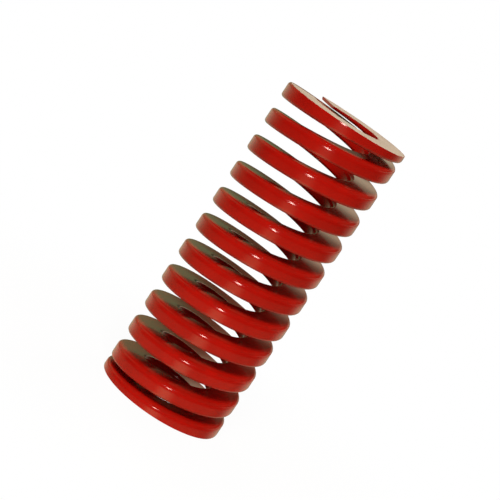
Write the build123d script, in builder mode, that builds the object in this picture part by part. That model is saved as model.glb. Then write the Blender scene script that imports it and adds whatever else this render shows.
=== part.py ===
from build123d import *
from build123d.topology import SkipClean
from math import cos, radians, sin
import os

# A right-hand die spring coiled from rectangular wire, closed and ground at both ends.
# It stands on its ground bottom end, with the origin at the centre of that end and its axis along +Z.
# Lengths are millimetres, and places along the wire are turns from the bottom tip.

# Coil
free_length = 63.5          # between the ground ends, unloaded
outer_diameter = 25.1       # clears a 25.4 mm pocket
bore_diameter = 13.4        # clears a 12.7 mm guide rod
total_turns = 12
bottom_tip_angle = -240.5   # degrees about the axis, anticlockwise from +X

# Wire
wire_thickness = 3.1        # along the axis; its width fills the wall between the bore and the outside
edge_break = 0.4            # flat along each of the wire's four edges

# Closed and ground ends: the pitch starts low at a tip, and then grows to the active pitch
end_flattening = 0.4        # how much less the pitch at a tip is than the wire's thickness
bottom_flat_turns = 0.22    # wire at an end that keeps to the end's pitch
top_flat_turns = 0.28
bottom_opening_turns = 1.22     # wire over which the pitch then grows
top_opening_turns = 1.01
bottom_tip_thickness = 1.04     # wire that grinding leaves at a tip
top_tip_thickness = 0.56

# How the wire is divided for lofting: each span is skinned over sections 15 degrees apart
spans_per_turn = 6
sections_per_span = 5
wall_stock = 0.02           # extra width a side, turned off to leave true cylinders inside and out

standing = (Align.CENTER, Align.CENTER, Align.MIN)
wire_width = (outer_diameter - bore_diameter) / 2
mean_radius = (outer_diameter + bore_diameter) / 4
end_pitch = wire_thickness - end_flattening

# The pitch that reaches the free length, once the tips are ground to their thickness
tip_to_tip_rise = free_length + wire_thickness - bottom_tip_thickness - top_tip_thickness
bottom_opening_middle = bottom_flat_turns + bottom_opening_turns / 2
top_opening_start = total_turns - top_flat_turns - top_opening_turns
active_turns = top_opening_start + top_opening_turns / 2 - bottom_opening_middle
active_pitch = end_pitch + (tip_to_tip_rise - end_pitch * total_turns) / active_turns


def opened(turns, opening_turns):
    """Turns' worth of the extra active pitch gained by a wire this far past where it starts to open."""
    eased = min(max(turns / opening_turns, 0.0), 1.0)
    return opening_turns * (eased**3 - eased**4 / 2) + max(turns - opening_turns, 0.0)


def wire_height(turns):
    """Height of the wire's centre line, this many turns from the bottom tip."""
    gained = opened(turns - bottom_flat_turns, bottom_opening_turns)
    gained -= opened(turns - top_opening_start, top_opening_turns)
    start = bottom_tip_thickness - wire_thickness / 2
    return start + end_pitch * turns + (active_pitch - end_pitch) * gained


def section_plane(turns):
    """Upright plane through the axis and the wire, with its X away from the axis."""
    angle = radians(bottom_tip_angle + 360 * turns)
    outward = Vector(cos(angle), sin(angle), 0)
    along = Vector(-sin(angle), cos(angle), 0)
    centre = outward * mean_radius + Vector(0, 0, wire_height(turns))
    return Plane(origin=centre, x_dir=outward, z_dir=along)


def wire_span(first, last):
    """The stretch of wire between two places on the coil, turned to the bore and outer diameter."""
    low = min(wire_height(first), wire_height(last)) - wire_thickness
    high = max(wire_height(first), wire_height(last)) + wire_thickness
    with BuildPart() as span:
        for step in range(sections_per_span):
            turns = first + (last - first) * step / (sections_per_span - 1)
            with BuildSketch(section_plane(turns)) as section:
                Rectangle(wire_width + 2 * wall_stock, wire_thickness)
                chamfer(section.vertices(), edge_break)
        loft()
        with Locations((0, 0, low)):
            Cylinder(outer_diameter / 2, high - low, align=standing, mode=Mode.INTERSECT)
            Cylinder(bore_diameter / 2, high - low, align=standing, mode=Mode.SUBTRACT)
    return span.part


span_count = round(total_turns * spans_per_turn)
span_ends = [total_turns * index / span_count for index in range(span_count + 1)]

# The spans' walls aren't merged, so each one stays a short true arc of the bore or the outside
with SkipClean(), BuildPart() as spring_coil:
    add([wire_span(first, last) for first, last in zip(span_ends, span_ends[1:])])
    # Grinding leaves only what lies between the two flat ends
    Box(outer_diameter, outer_diameter, free_length, align=standing, mode=Mode.INTERSECT)

spring_coil.part.label = "spring_coil"

os.makedirs("parts", exist_ok=True)
export_step(spring_coil.part, "parts/spring_coil.step")
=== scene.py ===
"""A die spring in glossy red enamel, standing on its ground end.

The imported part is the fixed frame. The coil is modelled again here with the wire's edges rounded,
and then come its finishes, a small studio and the camera. Lengths are metres, and +Z is up.
"""

import logging
import math
from dataclasses import dataclass
from enum import Enum
from typing import Any

import bmesh
import bpy
from mathutils import Matrix, Vector

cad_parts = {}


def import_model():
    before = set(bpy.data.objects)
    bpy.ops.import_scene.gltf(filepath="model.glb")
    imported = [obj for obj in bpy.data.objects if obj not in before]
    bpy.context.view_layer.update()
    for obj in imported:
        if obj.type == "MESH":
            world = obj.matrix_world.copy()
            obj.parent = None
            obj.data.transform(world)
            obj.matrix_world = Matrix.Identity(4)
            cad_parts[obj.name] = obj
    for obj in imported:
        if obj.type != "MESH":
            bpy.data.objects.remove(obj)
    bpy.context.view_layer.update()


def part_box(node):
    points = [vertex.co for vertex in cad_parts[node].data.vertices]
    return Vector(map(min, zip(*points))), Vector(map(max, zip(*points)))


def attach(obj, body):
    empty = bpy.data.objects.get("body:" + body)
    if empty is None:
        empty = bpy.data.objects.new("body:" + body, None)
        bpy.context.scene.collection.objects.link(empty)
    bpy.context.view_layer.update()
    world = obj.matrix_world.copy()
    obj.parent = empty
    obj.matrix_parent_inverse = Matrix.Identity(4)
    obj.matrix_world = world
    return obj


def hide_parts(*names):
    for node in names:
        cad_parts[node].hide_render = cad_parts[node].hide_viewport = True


log = logging.getLogger("die_spring")

MM = 0.001
ORIGIN = (0.0, 0.0, 0.0)
UP = (0.0, 0.0, 1.0)
LEVEL_ONLY = (1.0, 1.0, 0.0)

# Mesh layers of the coil, which the enamel reads
EDGE_LAYER = "edge"
RISE_LAYER = "rise"


class End(Enum):
    """Which ground end of the spring is meant."""

    BOTTOM = -1
    TOP = 1


class Wire(Enum):
    """Material slots of the coil's mesh."""

    COATED = 0
    GROUND = 1


class Socket:
    """One output of a shader graph, on which arithmetic adds Math nodes."""

    def __init__(self, graph: "Graph", out: bpy.types.NodeSocket) -> None:
        """Wraps an output.

        Args:
            graph: the graph that the output is in.
            out: the output itself.
        """
        self.graph = graph
        self.out = out

    def math(self, operation: str, *others: Any, clamp: bool = False) -> "Socket":
        """Works out a Math node on this value.

        Args:
            operation: the Math node's operation.
            others: the node's further values, numbers or sockets.
            clamp: whether the result is held between 0 and 1.

        Returns:
            The node's value.
        """
        settings = {"operation": operation, "use_clamp": clamp}
        return self.graph.node("ShaderNodeMath", settings, dict(enumerate((self, *others))))

    def __add__(self, other: Any) -> "Socket":
        """This plus other."""
        return self.math("ADD", other)

    __radd__ = __add__

    def __mul__(self, other: Any) -> "Socket":
        """This times other."""
        return self.math("MULTIPLY", other)

    __rmul__ = __mul__

    def __sub__(self, other: Any) -> "Socket":
        """This less other."""
        return self.math("SUBTRACT", other)

    def __rsub__(self, other: float) -> "Socket":
        """Other less this."""
        return self.math("MULTIPLY_ADD", -1.0, other)

    def stepped(self, low: float, high: float) -> "Socket":
        """Rises smoothly from 0 at low to 1 at high."""
        return self.graph.node(
            "ShaderNodeMapRange",
            {"interpolation_type": "SMOOTHSTEP"},
            {"Value": self, "From Min": low, "From Max": high},
        )


class Graph:
    """A node tree that is written as Python expressions."""

    def __init__(self, tree: bpy.types.NodeTree) -> None:
        """Empties a tree.

        Args:
            tree: the material's or the world's node tree.
        """
        tree.nodes.clear()
        self.tree = tree

    def node(
        self,
        kind: str,
        settings: dict[str, Any] | None = None,
        inputs: dict[Any, Any] | None = None,
        out: Any = 0,
    ) -> Socket:
        """Adds a node.

        Args:
            kind: the node's type.
            settings: its own settings, set before its sockets.
            inputs: values or links of its sockets, by name or number.
            out: which of its outputs comes back.

        Returns:
            The chosen output.
        """
        made = self.tree.nodes.new(kind)
        for name, value in (settings or {}).items():
            setattr(made, name, value)
        for key, value in (inputs or {}).items():
            if isinstance(value, Socket):
                self.tree.links.new(value.out, made.inputs[key])
            else:
                made.inputs[key].default_value = value
        return Socket(self, made.outputs[out] if made.outputs else None)

    def mixed(self, factor: Any, first: Any, second: Any) -> Socket:
        """Blends two colours.

        Args:
            factor: 0 gives the first and 1 the second.
            first: a colour or socket.
            second: a colour or socket.

        Returns:
            The blended colour.
        """
        return self.node("ShaderNodeMix", {"data_type": "RGBA"}, {0: factor, 6: first, 7: second}, out=2)

    def noise(self, where: Socket, per_metre: float, detail: float = 2.0) -> Socket:
        """Even noise between 0 and 1.

        Args:
            where: the coordinates.
            per_metre: how many of its features fit in a metre.
            detail: octaves of finer noise.

        Returns:
            The noise's value.
        """
        inputs = {"Vector": where, "Scale": per_metre, "Detail": detail, "Roughness": 0.5}
        return self.node("ShaderNodeTexNoise", inputs=inputs)

    def place(self) -> Socket:
        """The place on the object, in its own coordinates."""
        return self.node("ShaderNodeTexCoord", out="Object")

    def scaled(self, where: Socket, by: tuple[float, float, float]) -> Socket:
        """Coordinates times a factor for each axis."""
        return self.node("ShaderNodeVectorMath", {"operation": "MULTIPLY"}, {0: where, 1: by})

    def length(self, where: Socket) -> Socket:
        """How far coordinates are from the origin."""
        return self.node("ShaderNodeVectorMath", {"operation": "LENGTH"}, {0: where}, out="Value")

    def layer(self, name: str) -> Socket:
        """The value of a mesh layer."""
        return self.node("ShaderNodeAttribute", {"attribute_name": name}, out="Fac")

    def rays(self, kind: str) -> Socket:
        """1 for rays of one kind, such as Is Camera Ray, and 0 for the rest."""
        return self.node("ShaderNodeLightPath", out=kind)


def rgb(red: float, green: float, blue: float) -> tuple[float, float, float, float]:
    """A colour as a socket takes it."""
    return (red, green, blue, 1.0)


def new_material(name: str) -> tuple[bpy.types.Material, Graph]:
    """Makes an empty material.

    Args:
        name: its name.

    Returns:
        The material and its graph.
    """
    made = bpy.data.materials.new(name)
    made.use_nodes = True
    return made, Graph(made.node_tree)


@dataclass(frozen=True)
class Enamel:
    """Stoved red enamel, thinner along the wire's edges."""

    name: str = "red_enamel"
    colour: tuple = rgb(0.43, 0.0055, 0.0020)
    deep: tuple = rgb(0.38, 0.0045, 0.0015)
    thin: tuple = rgb(0.24, 0.0100, 0.0050)
    thinning: float = 0.5
    ior: float = 1.45
    roughness: float = 0.13
    uneven: float = 0.02
    clouds_per_metre: float = 120.0
    grains_per_metre: float = 900.0
    peel_per_metre: float = 700.0
    peel_depth: float = 0.003 * MM
    # The wall leans back from here up, on this radius, and the flanks fall outwards by this slope
    lean_start: float = 0.3 * MM
    lean_radius: float = 2.8 * MM
    flank_fall: float = 0.09

    def relief(self, graph: Graph, place: Socket) -> Socket:
        """The coat's own height: orange peel, the lean of the wall and the fall of the flanks.

        Args:
            graph: the enamel's graph.
            place: the place on the coil.

        Returns:
            The height in metres.
        """
        above = (graph.layer(RISE_LAYER) - self.lean_start).math("MAXIMUM", 0.0)
        lean = above * above * (0.5 / self.lean_radius)
        fall = graph.length(graph.scaled(place, LEVEL_ONLY)) * self.flank_fall
        return graph.noise(place, self.peel_per_metre, 1.0) * self.peel_depth - lean - fall

    def material(self) -> bpy.types.Material:
        """Makes the finish."""
        made, graph = new_material(self.name)
        place = graph.place()
        cloud = graph.noise(place, self.clouds_per_metre)
        grain = graph.noise(place, self.grains_per_metre, 3.0)
        body = graph.mixed(cloud.stepped(0.35, 0.65), self.colour, self.deep)
        worn = self.thinning * graph.layer(EDGE_LAYER) * grain.stepped(0.30, 0.70)
        rough = self.roughness + self.uneven * (grain - 0.5) + self.uneven * (cloud - 0.5)
        bump = graph.node(
            "ShaderNodeBump",
            inputs={"Strength": 1.0, "Distance": 1.0, "Height": self.relief(graph, place)},
        )
        shader = graph.node(
            "ShaderNodeBsdfPrincipled",
            inputs={
                "Base Color": graph.mixed(worn, body, self.thin),
                "Roughness": rough,
                "IOR": self.ior,
                "Normal": bump,
            },
        )
        graph.node("ShaderNodeOutputMaterial", inputs={"Surface": shader})
        return made


@dataclass(frozen=True)
class GroundSteel:
    """The dull ground steel of an end, with grinding marks and enamel left along its two edges."""

    inner: float
    outer: float
    name: str = "ground_steel"
    colour: tuple = rgb(0.74, 0.58, 0.44)
    dark: tuple = rgb(0.58, 0.43, 0.32)
    enamel: tuple = rgb(0.42, 0.02, 0.012)
    metallic: float = 0.15
    roughness: float = 0.45
    specular: float = 0.05
    uneven: float = 0.12
    marks_per_metre: float = 2600.0
    mark_stretch: float = 0.06
    mark_depth: float = 0.0015 * MM
    clouds_per_metre: float = 260.0
    grains_per_metre: float = 1400.0
    margin: float = 0.7 * MM

    def left(self, graph: Graph, place: Socket, cloud: Socket, grain: Socket) -> Socket:
        """Where grinding has left enamel, mostly along the inner and the outer edge.

        Args:
            graph: the finish's graph.
            place: the place on the coil.
            cloud: broad noise.
            grain: fine noise.

        Returns:
            1 on enamel and 0 on steel.
        """
        reach = graph.length(graph.scaled(place, LEVEL_ONLY))
        rims = reach.stepped(self.outer - self.margin, self.outer)
        rims = rims + (1.0 - reach.stepped(self.inner, self.inner + self.margin))
        return ((rims + 0.35 * cloud) * grain.stepped(0.42, 0.62)).stepped(0.35, 0.95)

    def material(self) -> bpy.types.Material:
        """Makes the finish."""
        made, graph = new_material(self.name)
        place = graph.place()
        marks = graph.noise(graph.scaled(place, (self.mark_stretch, 1.0, 1.0)), self.marks_per_metre)
        cloud = graph.noise(place, self.clouds_per_metre)
        grain = graph.noise(place, self.grains_per_metre, 3.0)
        tone = 0.6 * marks.stepped(0.3, 0.7) + 0.4 * cloud.stepped(0.3, 0.7)
        steel = graph.mixed(tone, self.colour, self.dark)
        bump = graph.node(
            "ShaderNodeBump", inputs={"Strength": 1.0, "Distance": self.mark_depth, "Height": marks}
        )
        shader = graph.node(
            "ShaderNodeBsdfPrincipled",
            inputs={
                "Base Color": graph.mixed(self.left(graph, place, cloud, grain), steel, self.enamel),
                "Metallic": self.metallic,
                "Roughness": self.roughness + self.uneven * (grain - 0.5),
                "Specular IOR Level": self.specular,
                "Normal": bump,
            },
        )
        graph.node("ShaderNodeOutputMaterial", inputs={"Surface": shader})
        return made


@dataclass(frozen=True)
class ClosedEnd:
    """How the wire closes up towards one end, and what grinding leaves of it there."""

    flat_turns: float
    opening_turns: float
    tip_thickness: float

    def opened(self, turns: float) -> float:
        """Turns' worth of the extra active pitch that the wire gains.

        Args:
            turns: how far the wire is past where it starts to open.

        Returns:
            The turns' worth gained.
        """
        eased = min(max(turns / self.opening_turns, 0.0), 1.0)
        return self.opening_turns * (eased**3 - eased**4 / 2) + max(turns - self.opening_turns, 0.0)


@dataclass
class Coil:
    """The one piece of the spring: rectangular wire, coiled, closed and ground at both ends."""

    free_length: float
    outer_radius: float
    bore_radius: float = 6.7 * MM
    thickness: float = 3.1 * MM
    edge_radius: float = 0.6 * MM
    turns: float = 12.0
    tip_angle: float = math.radians(-240.5)
    end_pitch: float = 2.7 * MM
    bottom: ClosedEnd = ClosedEnd(flat_turns=0.22, opening_turns=1.22, tip_thickness=1.04 * MM)
    top: ClosedEnd = ClosedEnd(flat_turns=0.28, opening_turns=1.01, tip_thickness=0.56 * MM)
    steps_per_turn: int = 90
    edge_segments: int = 5
    sharp_angle: float = math.radians(30.0)

    @property
    def width(self) -> float:
        """The wire's width, from the bore to the outside."""
        return self.outer_radius - self.bore_radius

    @property
    def middle(self) -> float:
        """How far the wire's centre line is from the axis."""
        return (self.outer_radius + self.bore_radius) / 2

    def height(self, turns: float) -> float:
        """Height of the wire's centre line.

        Args:
            turns: turns of wire from the bottom tip.

        Returns:
            The height above the bottom end.
        """
        low, high = self.bottom, self.top
        rise = self.free_length + self.thickness - low.tip_thickness - high.tip_thickness
        active = self.turns - low.flat_turns - high.flat_turns
        active -= (low.opening_turns + high.opening_turns) / 2
        extra = (rise - self.end_pitch * self.turns) / active
        gained = low.opened(turns - low.flat_turns)
        gained -= high.opened(turns - (self.turns - high.flat_turns - high.opening_turns))
        return low.tip_thickness - self.thickness / 2 + self.end_pitch * turns + extra * gained

    def section(self, mesh: bmesh.types.BMesh) -> int:
        """Draws the wire's section, upright at the bottom tip.

        Args:
            mesh: the empty mesh that it goes in.

        Returns:
            The number of its points.
        """
        bmesh.ops.create_grid(mesh, x_segments=1, y_segments=1, size=0.5)
        bmesh.ops.scale(mesh, vec=(self.width, self.thickness, 1.0), verts=mesh.verts)
        bmesh.ops.bevel(
            mesh,
            geom=mesh.verts[:],
            offset=self.edge_radius,
            affect="VERTICES",
            segments=self.edge_segments,
            profile=0.5,
            material=-1,
        )
        upright = Matrix.Rotation(math.pi / 2, 3, "X")
        bmesh.ops.rotate(mesh, cent=ORIGIN, matrix=upright, verts=mesh.verts)
        bmesh.ops.translate(mesh, vec=(self.middle, 0, 0), verts=mesh.verts)
        turned = Matrix.Rotation(self.tip_angle, 3, "Z")
        bmesh.ops.rotate(mesh, cent=ORIGIN, matrix=turned, verts=mesh.verts)
        return len(mesh.verts)

    def wind(self, mesh: bmesh.types.BMesh, points: int) -> None:
        """Winds the section into the coil and lifts each ring of it to its height.

        The edge layer marks the points on the rounded edges, and the rise layer keeps each point's
        height above the wire's centre line.

        Args:
            mesh: the mesh that holds the section.
            points: the section's number of points.
        """
        edge = mesh.verts.layers.float.new(EDGE_LAYER)
        rise = mesh.verts.layers.float.new(RISE_LAYER)
        steps = round(self.turns * self.steps_per_turn)
        bmesh.ops.spin(
            mesh,
            geom=mesh.edges[:],
            cent=ORIGIN,
            axis=UP,
            dvec=ORIGIN,
            angle=math.tau * self.turns,
            steps=steps,
            use_duplicate=False,
        )
        rounded = self.edge_radius * 0.98  # short of the points where the flats begin
        for number, vert in enumerate(mesh.verts):
            across = self.width / 2 - abs(vert.co.xy.length - self.middle)
            up = self.thickness / 2 - abs(vert.co.z)
            vert[edge] = 1.0 if max(across, up) < rounded else 0.0
            vert[rise] = vert.co.z
            vert.co.z += self.height(self.turns * (number // points) / steps)
        open_edges = [e for e in mesh.edges if e.is_boundary]
        bmesh.ops.edgeloop_fill(mesh, edges=open_edges)

    def grind(self, mesh: bmesh.types.BMesh, end: End) -> None:
        """Cuts an end off flat.

        Args:
            mesh: the wound coil.
            end: which end.
        """
        level = self.free_length if end is End.TOP else 0.0
        cut = bmesh.ops.bisect_plane(
            mesh,
            geom=mesh.verts[:] + mesh.edges[:] + mesh.faces[:],
            dist=1e-8,
            plane_co=(0, 0, level),
            plane_no=(0, 0, end.value),
            clear_outer=True,
        )
        rim = [g for g in cut["geom_cut"] if isinstance(g, bmesh.types.BMEdge)]
        filled = bmesh.ops.edgeloop_fill(mesh, edges=rim)
        for face in filled["faces"]:
            face.material_index = Wire.GROUND.value

    def build(self) -> bpy.types.Object:
        """Makes the coil's object."""
        mesh = bmesh.new()
        points = self.section(mesh)
        self.wind(mesh, points)
        bmesh.ops.recalc_face_normals(mesh, faces=mesh.faces)
        for end in End:
            self.grind(mesh, end)
        bmesh.ops.recalc_face_normals(mesh, faces=mesh.faces)
        for face in mesh.faces:
            face.smooth = True
        for rim in mesh.edges:
            rim.smooth = not (rim.is_manifold and rim.calc_face_angle(0.0) > self.sharp_angle)
        data = bpy.data.meshes.new("coil")
        mesh.to_mesh(data)
        mesh.free()
        made = bpy.data.objects.new("coil", data)
        bpy.context.scene.collection.objects.link(made)
        weighted = made.modifiers.new("flat_faces", "WEIGHTED_NORMAL")
        weighted.keep_sharp = True
        weighted.weight = 50
        return made

    def dress(self, piece: bpy.types.Object) -> None:
        """Gives the coil its finishes."""
        piece.data.materials.append(Enamel().material())
        piece.data.materials.append(GroundSteel(self.bore_radius, self.outer_radius).material())


@dataclass(frozen=True)
class Room:
    """What the enamel's gloss shows of the room."""

    # Behind the spring: a bright strip and columns on a wall that is dark from its middle rightwards
    sweep: tuple = rgb(0.85, 0.74, 0.50)
    shade: tuple = rgb(0.21, 0.285, 0.14)
    gloom: tuple = rgb(0.045, 0.060, 0.03)
    column_share: float = 0.8
    # In front of it: a dim room over a pale table, which glows in its middle
    dim: tuple = rgb(0.012, 0.010, 0.008)
    table: tuple = rgb(0.34, 0.30, 0.16)
    table_glow: tuple = rgb(1.8, 1.45, 0.8)

    # Where each thing comes in or fades out, along the X, Y or Z of a ray's direction
    behind_y: tuple = (0.0, 0.55)
    strip_foot_z: tuple = (0.10, 0.22)
    strip_head_z: tuple = (0.24, 0.40)
    strip_side_x: tuple = (-0.07, 0.04)
    column_inside_x: tuple = (0.10, 0.38)
    column_outside_x: tuple = (0.60, 0.98)
    column_head_z: tuple = (0.0, 0.1)
    shade_side_x: tuple = (-0.10, 0.02)
    table_edge_z: tuple = (-0.32, -0.02)
    glow_side_x: tuple = (0.06, 0.34)

    def seen(self, graph: Graph) -> Socket:
        """Works out the room.

        Args:
            graph: the world's graph.

        Returns:
            The room's colour in the ray's direction.
        """
        direction = graph.node("ShaderNodeTexCoord", out="Generated")
        side, depth, rise = (
            graph.node("ShaderNodeSeparateXYZ", inputs={0: direction}, out=axis) for axis in "XYZ"
        )
        across = side.math("ABSOLUTE")
        strip = rise.stepped(*self.strip_foot_z) * (1.0 - rise.stepped(*self.strip_head_z))
        strip = strip * side.stepped(*self.strip_side_x)
        columns = across.stepped(*self.column_inside_x) * (1.0 - across.stepped(*self.column_outside_x))
        columns = columns * (1.0 - rise.stepped(*self.column_head_z))
        shaded = graph.mixed(side.stepped(*self.shade_side_x), self.shade, self.gloom)
        backdrop = graph.mixed(strip + self.column_share * columns, shaded, self.sweep)
        low = 1.0 - rise.stepped(*self.table_edge_z)
        near = low * (1.0 - across.stepped(*self.glow_side_x))
        front = graph.mixed(near, graph.mixed(low, self.dim, self.table), self.table_glow)
        return graph.mixed(depth.stepped(*self.behind_y), front, backdrop)


@dataclass(frozen=True)
class Lamp:
    """A round lamp that faces the spring, placed by its angle round from the camera's side and up."""

    name: str
    distance: float
    elevation: float
    size: float
    power: float
    azimuth: float = 0.0
    tint: tuple = (1.0, 1.0, 1.0)
    glossy: bool = False

    def hang(self, target: Vector) -> bpy.types.Object:
        """Hangs the lamp, which either only lights or only shines in the gloss.

        Args:
            target: the point that it faces.

        Returns:
            The lamp.
        """
        data = bpy.data.lights.new(self.name, "AREA")
        data.shape = "DISK"
        data.size = self.size
        data.energy = self.power
        data.color = self.tint
        made = bpy.data.objects.new(self.name, data)
        bpy.context.scene.collection.objects.link(made)
        level = math.cos(self.elevation)
        right, back = level * math.sin(self.azimuth), level * math.cos(self.azimuth)
        away = Vector((right, -back, math.sin(self.elevation)))
        made.location = target + away * self.distance
        made.rotation_mode = "QUATERNION"
        made.rotation_quaternion = (-away).to_track_quat("-Z", "Y")
        if self.glossy:
            made.visible_diffuse = False
        else:
            made.visible_glossy = False
            made.visible_camera = False
        log.info("lamp %s: %.2f W", self.name, self.power)
        return made


@dataclass(frozen=True)
class Studio:
    """A soft key lamp above, two fills behind, a small flash by the camera and a white floor."""

    room: Room = Room()
    key: Lamp = Lamp("key", distance=0.60, elevation=math.radians(50.0), size=0.25, power=3.20)
    left_fill: Lamp = Lamp(
        "left_fill",
        distance=0.60,
        elevation=math.radians(14.0),
        size=0.25,
        power=1.0,
        azimuth=math.radians(-150.0),
    )
    right_fill: Lamp = Lamp(
        "right_fill",
        distance=0.60,
        elevation=math.radians(14.0),
        size=0.25,
        power=1.0,
        azimuth=math.radians(150.0),
    )
    flash: Lamp = Lamp(
        "flash",
        distance=0.36,
        elevation=math.radians(9.5),
        size=0.06,
        power=0.33,
        tint=(1.0, 0.72, 0.64),
        glossy=True,
    )
    ambient: float = 0.30
    ambient_tint: tuple = rgb(1.0, 0.97, 0.92)
    white: tuple = rgb(1.0, 1.0, 1.0)
    floor_radius: float = 90 * MM
    floor_colour: tuple = rgb(0.9, 0.88, 0.84)
    # The camera sees this share of plain white on the floor, which fades to all of it between the shares
    # of its radius
    floor_white: float = 0.93
    floor_fade: tuple = (0.25, 0.95)

    def world(self) -> None:
        """Lights the spring softly, and shows the room to gloss and plain white to the camera."""
        world = bpy.data.worlds.new("studio")
        bpy.context.scene.world = world
        world.use_nodes = True
        graph = Graph(world.node_tree)
        camera = graph.rays("Is Camera Ray")
        glossy = graph.rays("Is Glossy Ray")
        through = graph.rays("Is Transmission Ray")
        seen = graph.mixed(camera, self.room.seen(graph), self.white)
        backdrop = graph.node("ShaderNodeBackground", inputs={"Color": seen, "Strength": 1.0})
        soft = graph.node(
            "ShaderNodeBackground", inputs={"Color": self.ambient_tint, "Strength": self.ambient}
        )
        direct = camera.math("ADD", glossy + through, clamp=True)
        shown = graph.node("ShaderNodeMixShader", inputs={0: direct, 1: soft, 2: backdrop})
        graph.node("ShaderNodeOutputWorld", inputs={"Surface": shown})

    def floor(self) -> bpy.types.Object:
        """Lays a round white floor that keeps the spring's shadow and fades into the backdrop."""
        mesh = bmesh.new()
        bmesh.ops.create_circle(mesh, cap_ends=True, radius=self.floor_radius, segments=64)
        data = bpy.data.meshes.new("floor")
        mesh.to_mesh(data)
        mesh.free()
        made = bpy.data.objects.new("floor", data)
        bpy.context.scene.collection.objects.link(made)
        paint, graph = new_material("floor")
        camera = graph.rays("Is Camera Ray")
        away = graph.length(graph.place())
        near, far = self.floor_fade
        edge = away.stepped(near * self.floor_radius, far * self.floor_radius)
        matt = graph.node("ShaderNodeBsdfDiffuse", inputs={"Color": self.floor_colour})
        white = graph.node("ShaderNodeEmission", inputs={"Color": self.white, "Strength": 1.0})
        share = camera * (self.floor_white + (1.0 - self.floor_white) * edge)
        shown = graph.node("ShaderNodeMixShader", inputs={0: share, 1: matt, 2: white})
        graph.node("ShaderNodeOutputMaterial", inputs={"Surface": shown})
        data.materials.append(paint)
        made.visible_glossy = False
        return made

    def light(self, target: Vector) -> None:
        """Hangs the lamps.

        Args:
            target: the point that they face.
        """
        for lamp in (self.key, self.left_fill, self.right_fill, self.flash):
            lamp.hang(target)


@dataclass(frozen=True)
class Viewpoint:
    """The camera, a little above the spring's middle and rolled to its right."""

    elevation: float = math.radians(10.49)
    roll: float = math.radians(33.71)
    distance: float = 312.0 * MM
    lens: float = 121.25
    sensor: float = 36.0
    shift: tuple = (-0.0112, 0.0128)
    # How far up the spring it looks, as a share of the free length
    target_share: float = 0.5173

    def place(self, target: Vector) -> bpy.types.Object:
        """Sets up the camera.

        Args:
            target: the point on the spring's axis that it looks at.

        Returns:
            The camera.
        """
        back = Vector((0.0, -math.cos(self.elevation), math.sin(self.elevation)))
        right = Vector((1.0, 0.0, 0.0))
        up = back.cross(right)
        x_axis = right * math.cos(self.roll) + up * math.sin(self.roll)
        y_axis = back.cross(x_axis)
        data = bpy.data.cameras.new("camera")
        data.lens = self.lens
        data.sensor_width = self.sensor
        data.shift_x, data.shift_y = self.shift
        made = bpy.data.objects.new("camera", data)
        bpy.context.scene.collection.objects.link(made)
        turn = Matrix((x_axis, y_axis, back)).transposed().to_4x4()
        made.matrix_world = Matrix.Translation(target + back * self.distance) @ turn
        bpy.context.scene.camera = made
        return made


def main() -> None:
    """Builds the spring, the studio and the camera."""
    logging.basicConfig(level=logging.INFO, format="%(name)s: %(message)s")
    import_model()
    low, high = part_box("spring_coil")
    coil = Coil(free_length=high.z - low.z, outer_radius=(high.x - low.x) / 2)
    piece = coil.build()
    coil.dress(piece)
    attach(piece, "root")
    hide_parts("spring_coil")
    log.info("coil: %d faces", len(piece.data.polygons))
    viewpoint = Viewpoint()
    target = Vector((0.0, 0.0, viewpoint.target_share * coil.free_length))
    studio = Studio()
    studio.world()
    studio.floor()
    studio.light(target)
    viewpoint.place(target)
    bpy.context.scene.view_settings.view_transform = "Standard"


if __name__ == "__main__":
    main()
